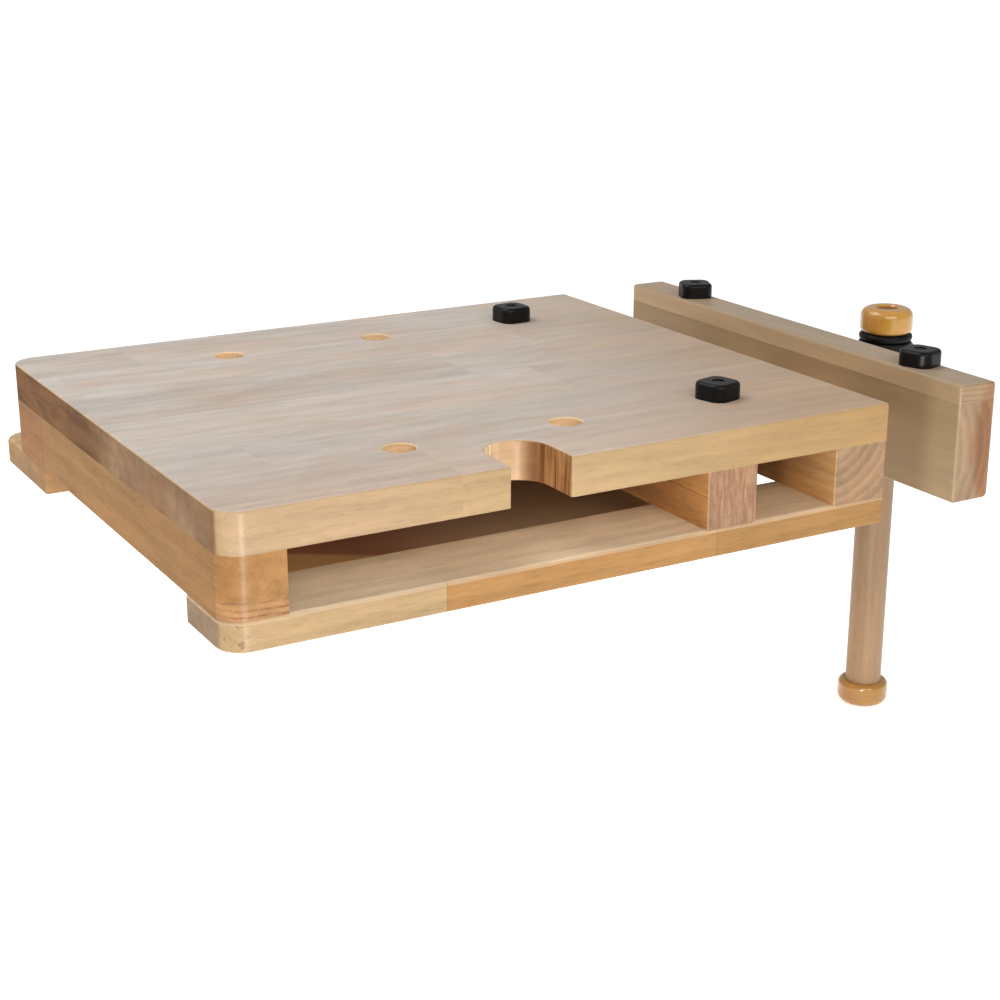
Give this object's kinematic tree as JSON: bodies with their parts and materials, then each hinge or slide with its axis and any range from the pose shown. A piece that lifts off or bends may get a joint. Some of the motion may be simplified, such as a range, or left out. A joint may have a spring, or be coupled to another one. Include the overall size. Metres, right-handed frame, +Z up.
{
  "type": "portable workbench",
  "caption": "Tabletop portable workbench: slotted wooden top on cross blocks and base boards, with dog holes, a saw notch and a full-width wooden end vise with a sliding bar handle.",
  "frame": {"origin": "centre of the front base board's underside, on the plane that the bench stands on", "axes": "+X along the bench towards the vise, +Y from the front edge to the rear, +Z up"},
  "size_m": [0.639, 0.426, 0.3297],
  "materials": {
    "top_wood": "satin oiled laminated rubberwood, short dash grain",
    "block_wood": "satin oiled rubberwood",
    "base_wood": "satin oiled laminated rubberwood",
    "dowel_wood": "plain beech",
    "jaw_wood": "satin oiled rubberwood",
    "handle_wood": "satin turned hardwood",
    "cap_wood": "gloss lacquered turned hardwood",
    "zinc_steel": "zinc plated",
    "nut_iron": "painted casting",
    "bush_brass": "turned, oiled",
    "rod_steel": "ground bright bar",
    "plate_steel": "plain zinc plated plate",
    "screw_steel": "rolled trapezoidal thread, oiled",
    "hub_iron": "black painted casting",
    "black_steel": "black oxide",
    "ring_rubber": "matt",
    "dog_plastic": "satin moulded"
  },
  "bodies": {
    "bench": {"top_board": "top_wood", "left_end_block": "block_wood", "middle_block": "block_wood", "right_end_block": "block_wood", "front_base_board": "base_wood", "rear_base_board": "base_wood", "block_dowels": "dowel_wood", "base_screws": "zinc_steel", "screw_nut": "nut_iron", "nut_screws": "zinc_steel", "middle_guide_bushes": "bush_brass", "right_guide_bushes": "bush_brass"},
    "jaw": {"vise_jaw": "jaw_wood", "guide_rod_front": "rod_steel", "guide_rod_rear": "rod_steel", "rod_bolts": "zinc_steel", "rod_washers": "zinc_steel", "thrust_plate": "plate_steel", "thrust_plate_screws": "zinc_steel"},
    "screw": {"vise_screw": "screw_steel", "screw_hub": "hub_iron", "hub_pin": "rod_steel", "retaining_collar": "plate_steel", "collar_grub_screw": "black_steel", "thrust_washer": "plate_steel"},
    "handle": {"handle_bar": "handle_wood", "handle_cap_upper": "cap_wood", "handle_cap_lower": "cap_wood", "handle_ring": "ring_rubber"},
    "bench_dog_front": {"bench_dog_front": "dog_plastic"},
    "bench_dog_rear": {"bench_dog_rear": "dog_plastic"},
    "jaw_dog_front": {"jaw_dog_front": "dog_plastic"},
    "jaw_dog_rear": {"jaw_dog_rear": "dog_plastic"}
  },
  "joints": [
    {"name": "jaw_slide", "type": "slide", "parent": "bench", "child": "jaw", "axis": [1, 0, 0], "range_m": [-0.0657, 0.0441]},
    {"name": "screw_turn", "type": "hinge", "parent": "jaw", "child": "screw", "pos_m": [0.3, 0.164, 0.0415], "axis": [1, 0, 0], "range_deg": [-5900, 3960]},
    {"name": "handle_slide", "type": "slide", "parent": "screw", "child": "handle", "axis": [0, 0, 1], "range_m": [0, 0.2392]},
    {"name": "bench_dog_front_lift", "type": "slide", "parent": "bench", "child": "bench_dog_front", "axis": [0, 0, 1], "range_m": [0, 0.05]},
    {"name": "bench_dog_rear_lift", "type": "slide", "parent": "bench", "child": "bench_dog_rear", "axis": [0, 0, 1], "range_m": [0, 0.05]},
    {"name": "jaw_dog_front_lift", "type": "slide", "parent": "jaw", "child": "jaw_dog_front", "axis": [0, 0, 1], "range_m": [0, 0.05]},
    {"name": "jaw_dog_rear_lift", "type": "slide", "parent": "jaw", "child": "jaw_dog_rear", "axis": [0, 0, 1], "range_m": [0, 0.05]}
  ],
  "couplings": [
    {"joint": "jaw_slide", "follows": "screw_turn", "m_per_rad": 0.00063662}
  ]
}
